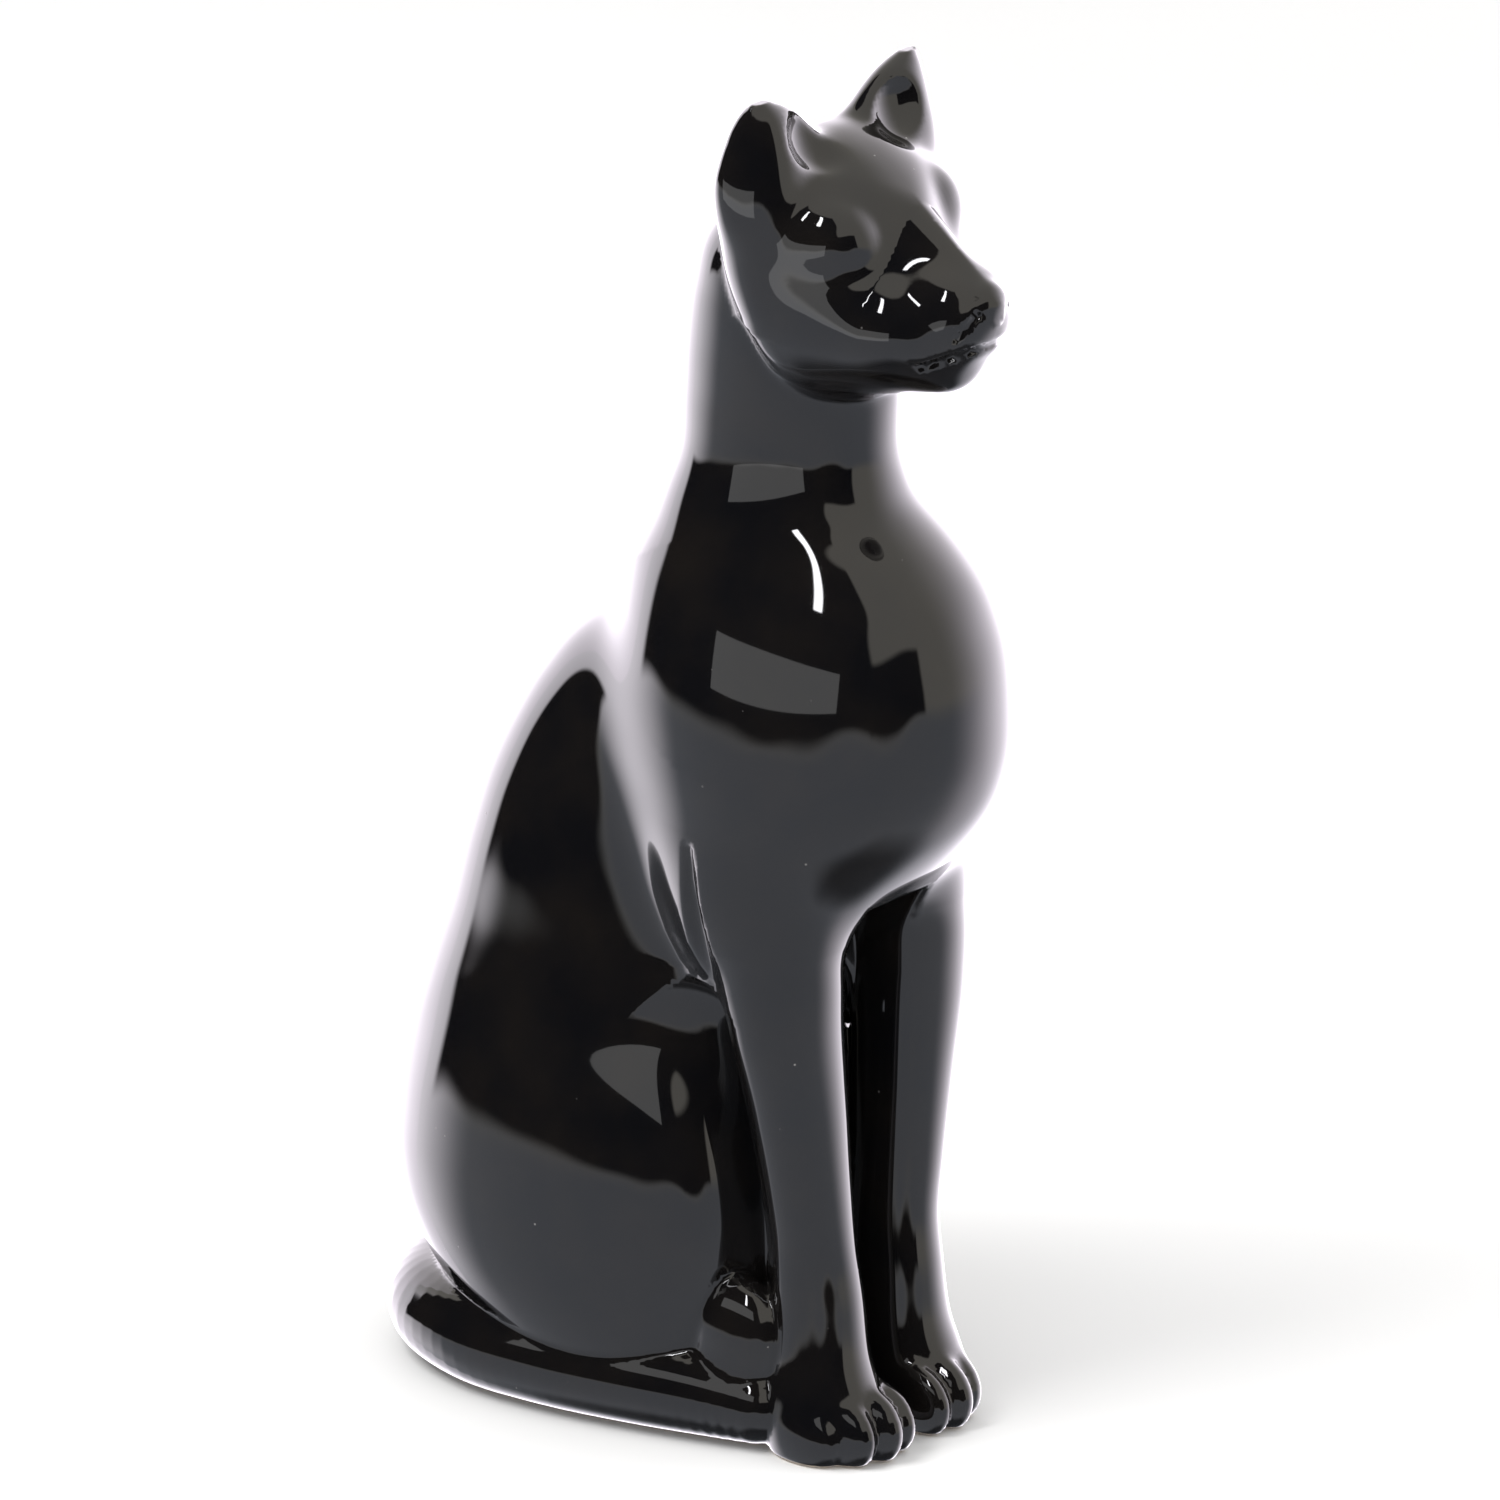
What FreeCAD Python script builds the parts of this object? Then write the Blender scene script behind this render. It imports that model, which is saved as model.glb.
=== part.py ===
import FreeCAD, Part
import os

# Seated cat in slip-cast, black-glazed stoneware.
# Frame: +Z up, the cat faces -Y, the median plane is X = 0 and the base rests on Z = 0.
# The cat's right side is -X: its tail is wrapped round that side.
# The clay pieces meet face to face along their luting lines; all lengths are in millimetres.

doc = FreeCAD.newDocument("SeatedCat")
sheet = doc.addObject("Spreadsheet::Sheet", "sizes")
sheet_rows = {"next": 1}


def size(alias, value):
    """One driving dimension: a plain number in its own cell, called by its alias."""
    row = sheet_rows["next"]
    sheet_rows["next"] = row + 1
    sheet.set(f"A{row}", alias)
    sheet.set(f"B{row}", str(value))
    sheet.setAlias(f"B{row}", alias)
    return f"sizes.{alias}"


def read(expression):
    """What an expression comes to, for the few choices that an expression can't make."""
    return float(sheet.evalExpression(expression.replace("sizes.", "")))


def bind(obj, **expressions):
    """Bind an object's properties to the sheet; Base_x stands for Placement.Base.x."""
    for prop, expression in expressions.items():
        path = prop.replace("Base_", "Placement.Base.")
        obj.setExpression(path, str(expression))


def seated(along):
    """A Y in the frame: lengths along the cat are taken from its working line, then set back."""
    return f"{set_back} + {along}"


def mirrored(side, expression):
    """The same X for the cat's left (+1) or right (-1) side."""
    return f"({side}) * ({expression})"


# ---- shaping tools

def ring(name, height, front, back, half, centre="0"):
    """One horizontal elliptical section, from its front, its back and its half width."""
    doc.recompute([sheet])
    obj = doc.addObject("Part::Ellipse", name)
    depth = f"(({back}) - ({front})) / 2"
    wide = read(half) * 2 > read(back) - read(front)
    turn = 0 if wide else 90
    obj.Placement.Rotation = FreeCAD.Rotation(FreeCAD.Vector(0, 0, 1), turn)
    bind(obj, MajorRadius=half if wide else depth, MinorRadius=depth if wide else half,
         Base_x=centre, Base_y=seated(f"(({front}) + ({back})) / 2"), Base_z=height)
    return obj


def loft(name, rings):
    obj = doc.addObject("Part::Loft", name)
    obj.Sections = rings
    obj.Solid = True
    obj.Ruled = False
    obj.MaxDegree = 3  # cubic skins don't swing between uneven stations
    return obj


def stack(name, stations, side=0):
    """A smooth solid through elliptical sections: (height, front, back, half width[, offset])."""
    rings = []
    for number, (height, front, back, half, *offset) in enumerate(stations, 1):
        key = f"{name}_{number}"
        centre = mirrored(side, size(f"{key}_offset", offset[0])) if offset else "0"
        rings.append(ring(f"{key}_ring", size(f"{key}_height", height), size(f"{key}_front", front),
                          size(f"{key}_back", back), size(f"{key}_half", half), centre))
    return loft(name, rings)


def upright_stack(name, stations):
    """A smooth solid through upright elliptical sections: (distance forward, bottom, top, half width)."""
    rings = []
    for number, (forward, bottom, top, half) in enumerate(stations, 1):
        key = f"{name}_{number}"
        forward, bottom = size(f"{key}_forward", forward), size(f"{key}_bottom", bottom)
        top, half = size(f"{key}_top", top), size(f"{key}_half", half)
        doc.recompute([sheet])
        tall = f"({top} - {bottom}) / 2"
        wide = read(half) > read(tall)
        obj = doc.addObject("Part::Ellipse", f"{key}_ring")
        stand = FreeCAD.Rotation(FreeCAD.Vector(1, 0, 0), 90)
        turn = FreeCAD.Rotation(FreeCAD.Vector(0, 0, 1), 0 if wide else 90)
        obj.Placement.Rotation = stand.multiply(turn)
        bind(obj, MajorRadius=half if wide else tall, MinorRadius=tall if wide else half,
             Base_y=seated(forward), Base_z=f"({top} + {bottom}) / 2")
        rings.append(obj)
    return loft(name, rings)


def mirror_stack(name, like, count, side):
    """The other side's copy of a stack, bound to the same cells."""
    rings = []
    for number in range(1, count + 1):
        key = f"sizes.{like}_{number}"
        rings.append(ring(f"{name}_{number}_ring", f"{key}_height", f"{key}_front",
                          f"{key}_back", f"{key}_half", mirrored(side, f"{key}_offset")))
    return loft(name, rings)


def hollow_stack(name, like, numbers, front_wall, open_number):
    """The space inside a stack, one wall in from its skin; it runs on past the station that is open."""
    outward = "+" if open_number == numbers[-1] else "-"
    rings = []
    for number in numbers:
        key = f"sizes.{like}_{number}"
        height = f"{key}_height"
        if number == open_number:
            height += f" {outward} {open_end}"
        rings.append(ring(f"{name}_{number}_ring", height, f"{key}_front + {front_wall}",
                          f"{key}_back - {wall}", f"{key}_half - {wall}"))
    return loft(name, rings)


def egg(name, place, radii, side=1, lean=0, pitch=0):
    """An ellipsoid: place and radii along X, Y, Z; lean tips it outwards, pitch tips it forwards."""
    x, y, z = place
    along, across, high = radii
    obj = doc.addObject("Part::Ellipsoid", name)
    outward = FreeCAD.Rotation(FreeCAD.Vector(0, 1, 0), side * lean)
    forward = FreeCAD.Rotation(FreeCAD.Vector(1, 0, 0), pitch)
    obj.Placement.Rotation = outward.multiply(forward)
    obj.Angle1, obj.Angle2, obj.Angle3 = -90, 90, 360
    bind(obj, Radius1=high, Radius2=along, Radius3=across, Base_x=mirrored(side, x),
         Base_y=seated(y), Base_z=z)
    return obj


def fuse(name, shapes):
    obj = doc.addObject("Part::MultiFuse", name)
    obj.Shapes = shapes
    return obj


def cut(name, base, tools):
    """The base with each tool taken away in turn; the last cut carries the name."""
    for number, tool in enumerate(tools, 1):
        last = number == len(tools)
        obj = doc.addObject("Part::Cut", name if last else f"{name}_cut_{number}")
        obj.Base = base
        obj.Tool = tool
        base = obj
    return base


# ---- driving dimensions

# from the working line, where the lengths along the cat start, to the middle of its base
set_back = size("set_back", 7.5)
wall = size("cast_wall", 5.5)
belly_front_wall = size("belly_front_wall", 15)
open_end = size("open_end", 2)
under = size("below_base", 40)
room = size("below_base_width", 300)
floor_rise = size("floor_rise", 1.5)
floor_thick = size("floor_thick", 5)
vent_radius = size("vent_radius", 4)
vent_back = size("vent_back", 12)

# a block below the base plane, to cut every foot flat
below = doc.addObject("Part::Box", "below_base_block")
bind(below, Length=room, Width=room, Height=under,
     Base_x=f"-{room} / 2", Base_y=f"-{room} / 2", Base_z=f"-{under}")

# ---- body casting

# neck, chest and shoulders: height, front, back, half width
chest = stack("chest", [
    (112, -47, -15, 31),
    (120, -56, -10, 34.5),
    (130, -66.5, -4, 36),
    (142, -74.5, 3, 36.6),
    (163, -78.3, 8, 36),
    (180, -76, 6, 33),
    (192, -70.5, 3, 28.5),
    (204, -57.5, -2, 22.5),
    (220, -53.4, -6.5, 19.6),
    (240, -56, -11, 20.2),
    (262, -50, -20, 14),
])

# back, flanks and haunches: one egg with a flat foot
haunch = stack("haunch", [
    (0, -39, 44, 26),
    (14, -41, 53.5, 30.5),
    (30, -42, 63, 37.5),
    (50, -42, 68.5, 43),
    (75, -42, 62, 43.6),
    (102, -41.5, 52.5, 41.3),
    (130, -39, 42.5, 37.8),
    (155, -31, 29.5, 30.5),
    (176, -20, 9, 14),
])
body_outside = fuse("body_outside", [chest, haunch])

# the hollow left when the slip is poured out: open under the base and at the top of the neck
belly_hollow = hollow_stack("belly_hollow", "haunch", range(1, 9), belly_front_wall, open_number=1)
neck_hollow = hollow_stack("neck_hollow", "chest", range(4, 12), wall, open_number=11)

# ---- forelegs with their paws

leg_stations = [
    (0, -64, -39, 11, 14),
    (14, -64, -38.5, 11.3, 14),
    (27, -60, -37.5, 10, 13.2),
    (40, -56.2, -37.3, 9, 13),
    (57, -55.7, -36.9, 9.4, 15),
    (75, -55.8, -36.2, 10.8, 17.2),
    (95, -56, -35, 12.8, 20),
    (112, -57, -31, 14.2, 20.5),
    (128, -56.5, -28, 13.8, 20.5),
    (140, -52, -31, 9, 19),
]
toe_width = size("toe_half_width", 4.3)
toe_length = size("toe_half_length", 10)
toe_height = size("toe_height", 15)
# each toe of one paw, from the inner to the outer: distance from the median plane, front line
toes = [
    (size(f"toe_{number}_across", across), size(f"toe_{number}_forward", forward))
    for number, (across, forward) in enumerate([(6.4, -62.5), (12.2, -63.5), (18, -61), (22.5, -55.5)], 1)
]
paw = [size(f"paw_{part}", value) for part, value in
       (("across", 13.8), ("forward", -53), ("rise", 9), ("half_width", 12.2), ("half_length", 15.5),
        ("half_height", 13))]

legs = {}
for side, word in ((-1, "right"), (1, "left")):
    if side == -1:
        shaft = stack("right_leg", leg_stations, side)
    else:
        shaft = mirror_stack("left_leg", "right_leg", len(leg_stations), side)
    foot = egg(f"{word}_paw", paw[:3], paw[3:], side)
    toe_eggs = [egg(f"{word}_toe_{number}", (across, forward, f"{toe_height} * 0.42"),
                    (toe_width, toe_length, f"{toe_height} * 0.58"), side)
                for number, (across, forward) in enumerate(toes, 1)]
    whole = fuse(f"{word}_foreleg_whole", [shaft, foot] + toe_eggs)
    legs[side] = cut(f"{word}_foreleg", whole, [below])

# ---- hind paws

hind = [size(f"hind_paw_{part}", value) for part, value in
        (("across", 22), ("forward", -29), ("rise", 16), ("half_width", 10), ("half_length", 17),
         ("half_height", 18))]
hind_paws = {}
for side, word in ((-1, "right"), (1, "left")):
    lump = egg(f"{word}_hind_lump", hind[:3], hind[3:], side)
    hind_paws[side] = cut(f"{word}_hind_paw", lump, [body_outside, legs[side], below])

# ---- tail

# round sections along a curve that lies on the base plane: X, Y, direction of travel, radius
tail_points = [
    (14, 36, 125, 8.5),
    (4, 50.5, 145, 10.5),
    (-11, 55.5, 192, 11.5),
    (-25, 47, 226, 11.5),
    (-32, 30, 258, 11.5),
    (-31.8, 11, 276, 11.3),
    (-27.8, -9, 284, 11),
    (-22.8, -27, 286, 10.2),
    (-19.6, -39.5, 284, 8.4),
]
tail_rings = []
for number, (x, y, heading, radius) in enumerate(tail_points, 1):
    key = f"tail_{number}"
    across, along = size(f"{key}_across", x), size(f"{key}_along", y)
    thick = size(f"{key}_radius", radius)
    circle = doc.addObject("Part::Circle", f"{key}_ring")
    stand = FreeCAD.Rotation(FreeCAD.Vector(1, 0, 0), 90)
    circle.Placement.Rotation = FreeCAD.Rotation(FreeCAD.Vector(0, 0, 1), heading + 90).multiply(stand)
    bind(circle, Radius=thick, Base_x=across, Base_y=seated(along), Base_z=thick)
    tail_rings.append(circle)
tail_tube = loft("tail_tube", tail_rings)
tip_x, tip_y, tip_radius = (f"sizes.tail_{len(tail_points)}_{part}" for part in ("across", "along", "radius"))
tail_tip = doc.addObject("Part::Sphere", "tail_tip")
bind(tail_tip, Radius=tip_radius, Base_x=tip_x, Base_y=seated(tip_y), Base_z=tip_radius)
tail_whole = fuse("tail_whole", [tail_tube, tail_tip])
tail = cut("tail", tail_whole, [body_outside, legs[-1], hind_paws[-1], below])

# ---- head and ears

cranium_place = ["0", size("cranium_forward", -39.5), size("cranium_rise", 263)]
cranium_radii = [size("cranium_half_width", 28), size("cranium_half_length", 20.5),
                 size("cranium_half_height", 21)]
cranium = egg("cranium", cranium_place, cranium_radii)
# the face, from the back of the skull to the nose: distance forward, underside, top, half width
face = upright_stack("face", [
    (-26, 253, 275, 15),
    (-35, 243, 282.5, 25),
    (-46, 237.5, 284, 27.5),
    (-57, 235, 279.5, 23.5),
    (-66, 234.5, 271.5, 17.5),
    (-74, 236.5, 265.5, 12.8),
    (-79.5, 240.5, 261.5, 9),
    (-83.5, 247, 257.5, 4),
])
head_outside = fuse("head_outside", [cranium, face])
head_hollow = egg("head_hollow", cranium_place, [f"{radius} - {wall}" for radius in cranium_radii])
head = cut("head", head_outside, [chest, head_hollow])

# an ear, from its root inside the skull to its tip: height, front, back, half width, offset
ear_stations = [
    (262, -46, -27, 12.5, 17.5),
    (273, -46, -29, 12, 19.5),
    (283, -45, -32.5, 9.5, 22.5),
    (290, -43.5, -35, 6.3, 25),
    (295.5, -41.5, -37.5, 2.4, 26.8),
]
cup = [size(f"ear_cup_{part}", value) for part, value in
       (("across", 21.5), ("forward", -47), ("rise", 279), ("half_width", 6.5), ("half_length", 9),
        ("half_height", 13))]
ears = {}
for side, word in ((-1, "right"), (1, "left")):
    if side == -1:
        blade = stack("right_ear_blade", ear_stations, side)
    else:
        blade = mirror_stack("left_ear_blade", "right_ear_blade", len(ear_stations), side)
    hollow = egg(f"{word}_ear_cup", cup[:3], cup[3:], side, lean=17)
    ears[side] = cut(f"{word}_ear", blade, [head_outside, hollow])

# ---- body and its floor

body = cut("body_casting", body_outside, [belly_hollow, neck_hollow, legs[-1], legs[1]])

slab = doc.addObject("Part::Box", "floor_slab")
bind(slab, Length=room, Width=room, Height=floor_thick,
     Base_x=f"-{room} / 2", Base_y=f"-{room} / 2", Base_z=floor_rise)
floor_plate = doc.addObject("Part::Common", "floor_plate")
floor_plate.Base = belly_hollow
floor_plate.Tool = slab
vent = doc.addObject("Part::Cylinder", "vent_hole")
bind(vent, Radius=vent_radius, Height=under, Base_y=seated(vent_back), Base_z=f"-{under} / 2")
base_floor = cut("base_floor", floor_plate, [vent])

# ---- check and write

nodes = {
    "body_casting": body,
    "head": head,
    "right_ear": ears[-1],
    "left_ear": ears[1],
    "right_foreleg": legs[-1],
    "left_foreleg": legs[1],
    "right_hind_paw": hind_paws[-1],
    "left_hind_paw": hind_paws[1],
    "tail": tail,
    "base_floor": base_floor,
}
doc.recompute()
for obj in doc.Objects:
    if "Invalid" in obj.State or "Error" in obj.State:
        raise RuntimeError(f"{obj.Name} did not build: {obj.State}")
os.makedirs("parts", exist_ok=True)
for name, obj in nodes.items():
    obj.Label = name
    shape = obj.Shape
    if shape.isNull() or not shape.isValid():
        raise RuntimeError(f"{name} has no valid shape")
    print(f"{name:16s} {len(shape.Solids)} solid, {shape.Volume / 1000:8.2f} cm3")
    shape.exportStep(f"parts/{name}.step")
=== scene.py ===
import math
import bpy
import numpy as np
import openvdb as vdb
from mathutils import Matrix, Vector


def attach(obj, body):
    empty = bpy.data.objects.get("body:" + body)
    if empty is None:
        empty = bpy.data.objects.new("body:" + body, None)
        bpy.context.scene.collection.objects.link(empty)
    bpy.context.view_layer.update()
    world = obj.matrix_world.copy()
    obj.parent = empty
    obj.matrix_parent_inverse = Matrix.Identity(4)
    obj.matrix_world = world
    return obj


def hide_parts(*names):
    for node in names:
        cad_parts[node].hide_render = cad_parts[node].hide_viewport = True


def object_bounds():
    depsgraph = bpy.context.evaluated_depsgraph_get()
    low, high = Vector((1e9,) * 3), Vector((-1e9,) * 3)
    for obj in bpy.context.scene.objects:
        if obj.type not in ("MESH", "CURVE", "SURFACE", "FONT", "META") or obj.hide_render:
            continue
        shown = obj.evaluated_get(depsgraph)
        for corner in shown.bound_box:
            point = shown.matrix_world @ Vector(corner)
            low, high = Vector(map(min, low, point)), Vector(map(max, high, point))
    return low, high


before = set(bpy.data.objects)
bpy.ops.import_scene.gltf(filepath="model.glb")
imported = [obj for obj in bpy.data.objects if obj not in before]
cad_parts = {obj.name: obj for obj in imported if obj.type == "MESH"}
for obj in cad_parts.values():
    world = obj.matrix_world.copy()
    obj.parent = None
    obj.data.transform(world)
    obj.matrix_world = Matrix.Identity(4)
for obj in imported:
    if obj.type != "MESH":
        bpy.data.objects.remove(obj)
cadLow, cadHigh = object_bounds()
print("stage 1: frame loaded with", len(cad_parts), "nodes")

# The cat is drawn in millimetres on its own middle line, X across, Y towards the tail, Z up.
# A shape is a function that gives the distance from each point to its skin, less than nothing inside.
catShape = {"height": 295.5, "setBack": 7.5, "fineStep": 1.2, "quickStep": 1.35, "wall": 2.2}
unit = (cadHigh.z - cadLow.z) / catShape["height"]   # metres in one drawn millimetre
farAway = 60.0                                       # what a shape reads outside its own box


# clay tools

def melt(a, b, k):
    # joins two shapes with a soft fillet about k wide
    h = np.maximum(k - np.abs(a - b), 0) / k
    return np.minimum(a, b) - h * h * h * k / 6


def carve(a, b, k):
    # takes shape b, given as its own distance, out of shape a with a soft edge
    return -melt(-a, b, k)


def turned(rx, ry, rz):
    return np.array((Matrix.Rotation(math.radians(rz), 3, "Z") @ Matrix.Rotation(math.radians(ry), 3, "Y")
                     @ Matrix.Rotation(math.radians(rx), 3, "X")), np.float32)


def egg(p, centre, radii, rx=0, ry=0, rz=0):
    q = (p - np.array(centre, np.float32)) @ turned(rx, ry, rz)
    r = np.array(radii, np.float32)
    near = np.sqrt(((q / r) ** 2).sum(-1))
    slant = np.sqrt(((q / (r * r)) ** 2).sum(-1))
    return near * (near - 1) / np.maximum(slant, 1e-6)


def oval(x, y, halfX, halfY):
    near = np.sqrt((x / halfX) ** 2 + (y / halfY) ** 2)
    slant = np.sqrt((x / halfX ** 2) ** 2 + (y / halfY ** 2) ** 2)
    return near * (near - 1) / np.maximum(slant, 1e-5)


def boxyOval(x, y, halfX, halfY, squareness):
    # an oval whose corners fill out as squareness goes above 2
    x, y = np.abs(x / halfX) + 1e-4, np.abs(y / halfY) + 1e-4
    near = x ** squareness + y ** squareness
    root = near ** (1 / squareness)
    slant = root / near * np.hypot(x ** (squareness - 1) / halfX, y ** (squareness - 1) / halfY)
    return (root - 1) / np.maximum(slant, 1e-5)


def facet(p, azimuth, elevation, through):
    # everything beyond a plane that faces this way and passes through a point
    a, e = math.radians(azimuth), math.radians(elevation)
    way = np.array((math.sin(a) * math.cos(e), -math.cos(a) * math.cos(e), math.sin(e)), np.float32)
    return (np.array(through, np.float32) - p) @ way


def bone(p, a, b, ra, rb):
    # a round bar from a to b that changes radius
    a = np.array(a, np.float32)
    ba = np.array(b, np.float32) - a
    pa = p - a
    t = np.clip((pa @ ba) / float(ba @ ba), 0, 1)
    return np.sqrt(((pa - t[..., None] * ba) ** 2).sum(-1)) - (ra + (rb - ra) * t)


def stringOf(p, points):
    # bones end to end, each point (x, y, z, radius)
    d = np.full(p.shape[:-1], farAway, np.float32)
    for a, b in zip(points[:-1], points[1:]):
        d = np.minimum(d, bone(p, a[:3], b[:3], a[3], b[3]))
    return d


def drawnCurve(stations, samples=1200, soften=61):
    # smooth curves through rows (place, value, value, ...), read back at any place
    rows = np.array(stations, float)
    s = rows[:, 0]
    t = np.linspace(s[0], s[-1], samples)
    i = np.clip(np.searchsorted(s, t, side="right") - 1, 0, len(s) - 2)
    h = s[i + 1] - s[i]
    w = (t - s[i]) / h
    reach = soften // 2
    weights = np.hanning(soften + 2)[1:-1]
    weights /= weights.sum()
    curves = []
    for v in rows[:, 1:].T:
        steps = np.diff(v) / np.diff(s)
        m = np.empty(len(s))
        m[1:-1] = (steps[:-1] * np.diff(s)[1:] + steps[1:] * np.diff(s)[:-1]) / (s[2:] - s[:-2])
        m[0], m[-1] = steps[0], steps[-1]
        y = ((2 * w ** 3 - 3 * w ** 2 + 1) * v[i] + (w ** 3 - 2 * w ** 2 + w) * h * m[i]
             + (3 * w ** 2 - 2 * w ** 3) * v[i + 1] + (w ** 3 - w ** 2) * h * m[i + 1])
        before = y[0] + (t[1] - t[0]) * m[0] * np.arange(-reach, 0)
        after = y[-1] + (t[1] - t[0]) * m[-1] * np.arange(1, reach + 1)
        curves.append(np.convolve(np.concatenate([before, y, after]), weights, mode="valid"))
    return lambda place: [np.interp(place, t, c) for c in curves]


def onlyIn(p, low, high, shape):
    # works a shape out only inside its box
    m = ((p >= np.array(low, np.float32)) & (p <= np.array(high, np.float32))).all(-1)
    out = np.full(p.shape[:-1], farAway, np.float32)
    if m.any():
        out[m] = shape(p[m])
    return out


def mirrored(p):
    q = p.copy()
    q[..., 0] = np.abs(q[..., 0])
    return q


# body casting: chest and haunch

bodyShape = {
    # height, front, back, half width
    "chest": [(106, -40, -20, 27), (114, -50, -14.5, 32), (122, -59, -9, 35), (130, -66.8, -4, 36),
              (142, -75.5, 3, 36.6), (152, -78.9, 7, 37), (163, -79.6, 9, 36.6), (180, -77.2, 7.4, 33.6),
              (190, -72.6, 5, 30), (198, -65.3, 1.6, 26), (204, -58, -0.6, 23), (212, -54, -3.6, 20.6),
              (225, -53.2, -4.6, 19.8), (236, -54.5, -5.6, 20.4), (250, -55, -8, 20.6),
              (262, -50, -12.5, 18.5), (272, -46, -22, 11)],
    "haunch": [(-4, -35, 39, 27), (6, -36, 44.3, 34), (15, -37, 50.4, 39.5), (22, -37.5, 57, 42),
               (28, -38, 62, 43.4), (36, -38.5, 67, 44.2), (46, -38.5, 69.8, 44.1), (58, -38.2, 69.2, 43),
               (75, -37, 65.4, 40.6), (88, -35.4, 61.3, 38.4), (102, -32.8, 56.2, 36.2),
               (120, -28.8, 50.8, 33.6), (134, -25.5, 45.5, 31), (147, -22, 38.7, 27.2),
               (157, -19, 32.2, 23.4), (165, -16.5, 25.5, 19), (171, -15, 17.8, 13.4), (178, -12, 5.5, 7)],
    "chestEnds": (107, 271), "haunchTop": 177, "shoulderFillet": 24,
    "thigh": {"centre": (23.7, 8, 52), "radii": (20.4, 40, 44)}, "thighFillet": 8,
}
chestCurve = drawnCurve(bodyShape["chest"])
haunchCurve = drawnCurve(bodyShape["haunch"])


def bodySkin(p):
    z = p[..., 2]
    low, high = bodyShape["chestEnds"]
    front, back, half = chestCurve(z)
    chest = oval(p[..., 0], p[..., 1] - (front + back) / 2, half, (back - front) / 2)
    chest = np.maximum(chest, np.maximum(z - high, low - z))
    front, back, half = haunchCurve(z)
    haunch = oval(p[..., 0], p[..., 1] - (front + back) / 2, half, (back - front) / 2)
    haunch = np.maximum(haunch, z - bodyShape["haunchTop"])
    haunch = melt(haunch, egg(mirrored(p), **bodyShape["thigh"]), bodyShape["thighFillet"])
    return melt(chest, haunch, bodyShape["shoulderFillet"])


# forelegs, paws and toes

legShape = {
    # height, front, back, half width, middle
    "leg": [(-4, -61, -38, 10.6, 13.6), (14, -60.5, -37.5, 10.8, 13.6), (24, -58.5, -37, 10, 13.1),
            (34, -57.3, -36.6, 9.4, 13), (44, -55.9, -36.2, 9, 13.4), (57, -55.7, -35.9, 9.5, 15),
            (75, -55.8, -34.6, 10.9, 17.2), (95, -56, -32.5, 12.7, 19.8), (108, -56, -30.5, 13.2, 20.2),
            (120, -54.5, -29, 12.4, 20), (130, -50, -29, 10, 19.4), (140, -44, -31, 5, 18.6)],
    "top": 139,
    "paw": {"centre": (13.4, -47.6, 9), "radii": (11.4, 15, 13)},
    "toes": [dict(x=5.8, y=-57.3, half=4.4, long=10.0, top=14.5),
             dict(x=11.6, y=-58.3, half=4.7, long=10.3, top=15.5),
             dict(x=17.4, y=-56.1, half=4.6, long=10.0, top=14.5),
             dict(x=22.0, y=-51.0, half=4.1, long=9.2, top=12.5)],
    # shares of a toe's top that give its middle and its half height
    "toeMiddle": 0.42, "toeHalf": 0.58,
    "toeFillet": 1.7, "pawFillet": 5,
    # height, width of the soft join with the body
    "joinLow": (84, 4.0), "joinHigh": (114, 20.0),
}
legCurve = drawnCurve(legShape["leg"])


def foreleg(q):
    front, back, half, middle = legCurve(q[..., 2])
    shaft = oval(q[..., 0] - middle, q[..., 1] - (front + back) / 2, half, (back - front) / 2)
    shaft = np.maximum(shaft, q[..., 2] - legShape["top"])
    paw = egg(q, **legShape["paw"])
    for toe in legShape["toes"]:
        toeCentre = (toe["x"], toe["y"], toe["top"] * legShape["toeMiddle"])
        bead = egg(q, toeCentre, (toe["half"], toe["long"], toe["top"] * legShape["toeHalf"]))
        paw = melt(paw, bead, legShape["toeFillet"])
    return melt(shaft, paw, legShape["pawFillet"])


def legSkin(q):
    return onlyIn(q, (-5, -90, -10), (50, -5, 160), foreleg)


# the clear space between the forelegs: heights with half widths, heights with the back wall
gapShape = {"half": ([0, 12, 45, 75, 100, 130], [2.3, 2.8, 5.0, 7.4, 9.0, 9.4]),
            "wall": ([0, 30, 110, 125], [-43, -42, -38.5, -42]), "top": 120.5, "edge": 3}
# the groove between a foreleg and the flank, and the deeper hollow beside the shank
grooveShape = {"line": [(36.6, -31.5, 136, 0.6), (36.6, -32, 128, 1.5), (35.6, -33, 116, 2.5),
                        (33.6, -34, 102, 3.2), (31, -35, 88, 3.7), (28.2, -36.2, 74, 3.9),
                        (25.8, -37.4, 60, 4.1), (24.0, -38, 48, 4.1), (23.2, -37, 37, 3.8)], "edge": 2.8}


def legGap(p):
    half = np.interp(p[..., 2], *gapShape["half"])
    wall = np.interp(p[..., 2], *gapShape["wall"])
    return np.maximum(np.maximum(np.abs(p[..., 0]) - half, p[..., 1] - wall), p[..., 2] - gapShape["top"])


# hind paws and tail

hindShape = {"knuckle": {"centre": (21.2, -32, 24), "radii": (7.6, 12.2, 13)},
             "foot": {"centre": (20, -30, 14), "radii": (9.5, 13, 13)}, "fillet": 3}

tailShape = {
    # x, y, height of the middle, radius
    "line": [(14, 36, 8.5, 8), (4, 50.5, 9.8, 10), (-11, 55.6, 10.6, 10.9), (-25.2, 47.5, 10.8, 11),
             (-32.5, 30, 11, 11.2), (-32.2, 11, 11, 11.1), (-28.2, -9, 10.8, 10.9),
             (-23.6, -26, 10.2, 10.2), (-21, -37, 9.2, 8.9)],
    "lengths": 48,
}


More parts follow.
